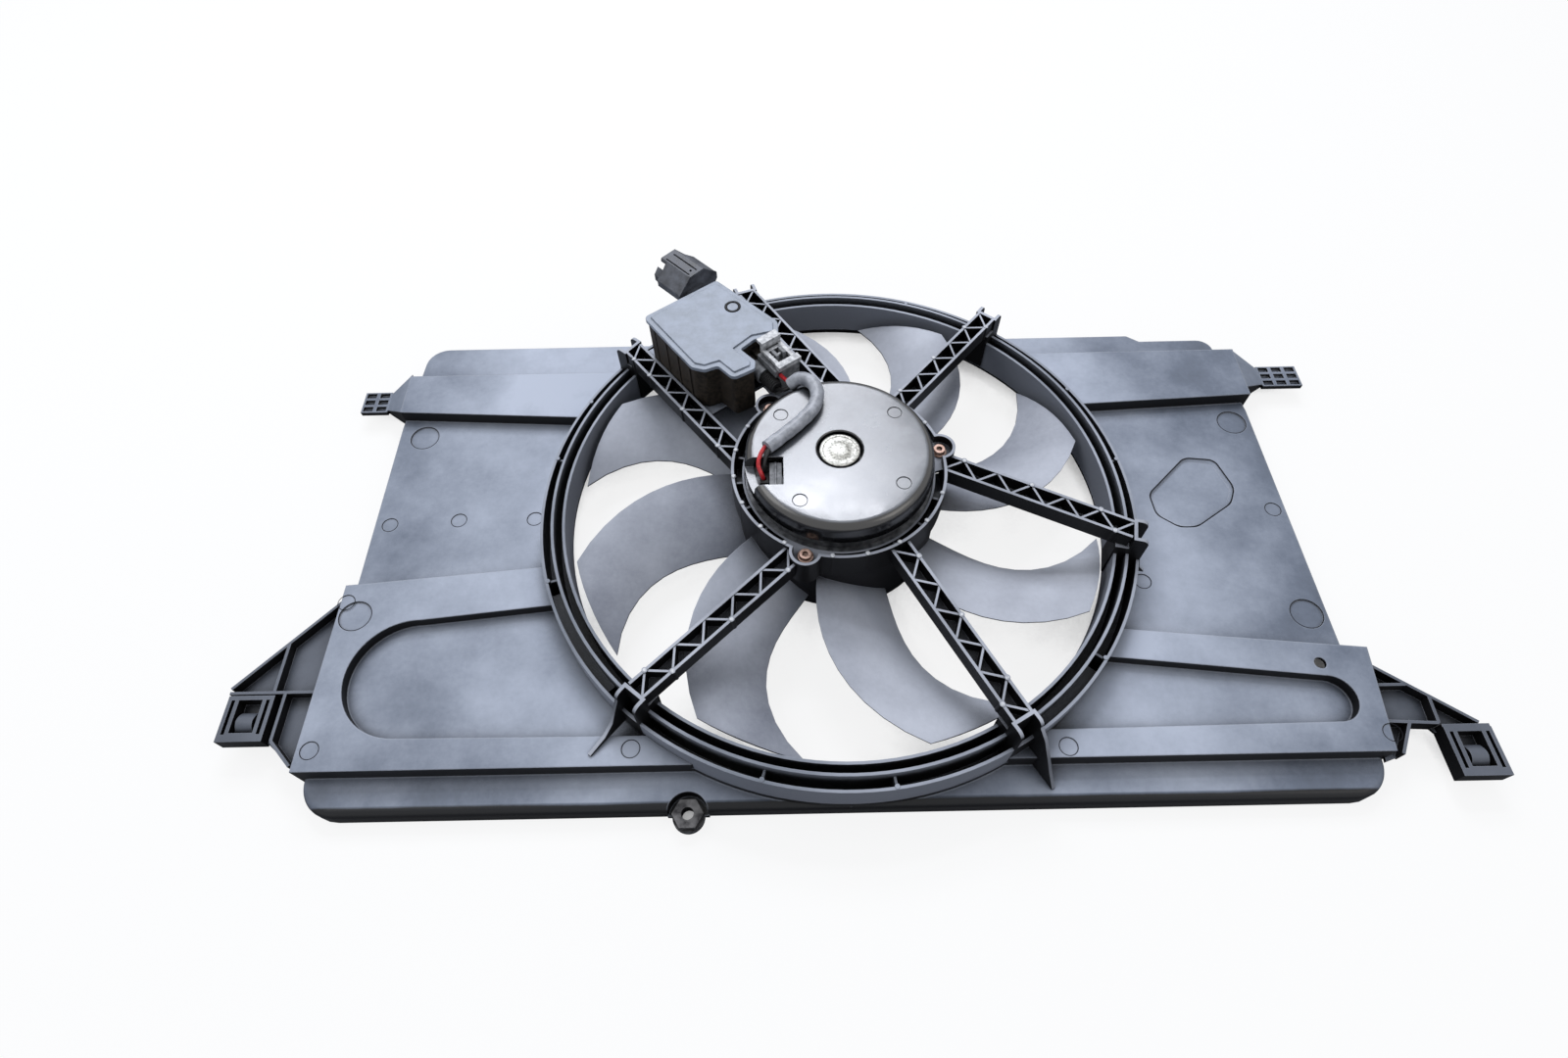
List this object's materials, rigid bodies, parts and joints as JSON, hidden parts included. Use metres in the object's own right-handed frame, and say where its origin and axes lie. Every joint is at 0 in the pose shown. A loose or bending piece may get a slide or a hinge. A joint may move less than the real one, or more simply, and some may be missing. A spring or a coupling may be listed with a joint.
{
  "type": "radiator fan",
  "caption": "Engine-side radiator fan: moulded shroud with ring and lattice struts, sickle-bladed fan on a flat motor, and a control module with its motor lead.",
  "frame": {"origin": "on the fan axis, in the plane of the shroud's radiator-side edge", "axes": "+Z along the fan axis towards the engine side, +X the panel's long way, +Y towards its far straight edge"},
  "size_m": [0.8372, 0.449, 0.1132],
  "materials": {
    "glass_filled_nylon": "dark grey glass-filled nylon, satin",
    "fan_nylon": "dark grey nylon, satin",
    "zinc_steel": "zinc-plated steel",
    "dark_steel": "dark plated steel",
    "bearing_steel": "ground bearing steel",
    "sintered_bronze": "sintered bronze",
    "brass": "brass",
    "ferrite": "ground ferrite",
    "silicon_steel": "stacked silicon steel sheet",
    "copper": "enamelled copper wire",
    "phenolic": "brown phenolic sheet",
    "carbon": "carbon",
    "cast_aluminium": "cast aluminium",
    "cover_nylon": "dark grey moulded nylon",
    "copper_plated_steel": "copper-coloured plated steel",
    "black_rubber": "black rubber",
    "tinned_steel": "tinned sheet steel",
    "module_plastic": "black-brown moulded plastic",
    "lid_plastic": "blue-grey moulded plastic",
    "board": "green circuit board",
    "component_black": "black moulded component",
    "capacitor_sleeve": "blue film sleeve",
    "tinned_copper": "tinned copper",
    "connector_plastic": "black connector plastic",
    "plug_plastic": "dark grey connector plastic",
    "latch_plastic": "light grey connector plastic",
    "sheath_plastic": "grey-black heat-shrunk sheath",
    "red_insulation": "red insulation",
    "black_insulation": "black insulation"
  },
  "bodies": {
    "shroud": {"left_panel": "glass_filled_nylon", "right_panel": "glass_filled_nylon", "left_arm": "glass_filled_nylon", "right_arm": "glass_filled_nylon", "left_tab": "glass_filled_nylon", "right_tab": "glass_filled_nylon", "fan_ring": "glass_filled_nylon", "motor_carrier": "glass_filled_nylon", "lattice_struts": "glass_filled_nylon", "strut_towers": "glass_filled_nylon", "module_tray": "glass_filled_nylon", "lip_nut": "dark_steel", "motor_can": "zinc_steel", "front_end_plate": "cast_aluminium", "rear_bush": "sintered_bronze", "bearing_outer_race": "bearing_steel", "field_magnets": "ferrite", "brush_plate": "phenolic", "brush_holders": "brass", "brushes": "carbon", "brush_springs": "zinc_steel", "suppression_chokes": "ferrite", "motor_cover": "cover_nylon", "motor_screws": "copper_plated_steel", "lead_grommet": "black_rubber", "lead_clip": "tinned_steel", "module_housing": "module_plastic", "module_lid": "lid_plastic", "lid_seal": "black_rubber", "vent_cap": "connector_plastic", "circuit_board": "board", "power_transistors": "component_black", "filter_capacitors": "capacitor_sleeve", "filter_coil": "copper", "heat_sink": "cast_aluminium", "supply_connector": "connector_plastic", "supply_pins": "tinned_copper", "motor_plug": "plug_plastic", "plug_terminals": "tinned_copper", "plug_sleeve": "black_rubber", "lead_sheath": "sheath_plastic", "red_wire": "red_insulation", "black_wire": "black_insulation"},
    "rotor": {"fan": "fan_nylon", "fan_hub_insert": "brass", "fan_clip": "zinc_steel", "motor_shaft": "bearing_steel", "bearing_inner_race": "bearing_steel", "bearing_balls": "bearing_steel", "bearing_cage": "brass", "armature_core": "silicon_steel", "armature_windings": "copper", "commutator": "copper"},
    "latch": {"plug_latch": "latch_plastic"}
  },
  "joints": [
    {"name": "fan_spin", "type": "hinge", "parent": "shroud", "child": "rotor", "pos_m": [0, 0, 0.03], "axis": [0, 0, 1], "continuous": true},
    {"name": "latch_press", "type": "hinge", "parent": "shroud", "child": "latch", "pos_m": [-0.0409, 0.0877, 0.1045], "axis": [0.809, 0.5878, 0], "range_deg": [0, 6], "stiffness_Nm_per_rad": 0.5}
  ]
}
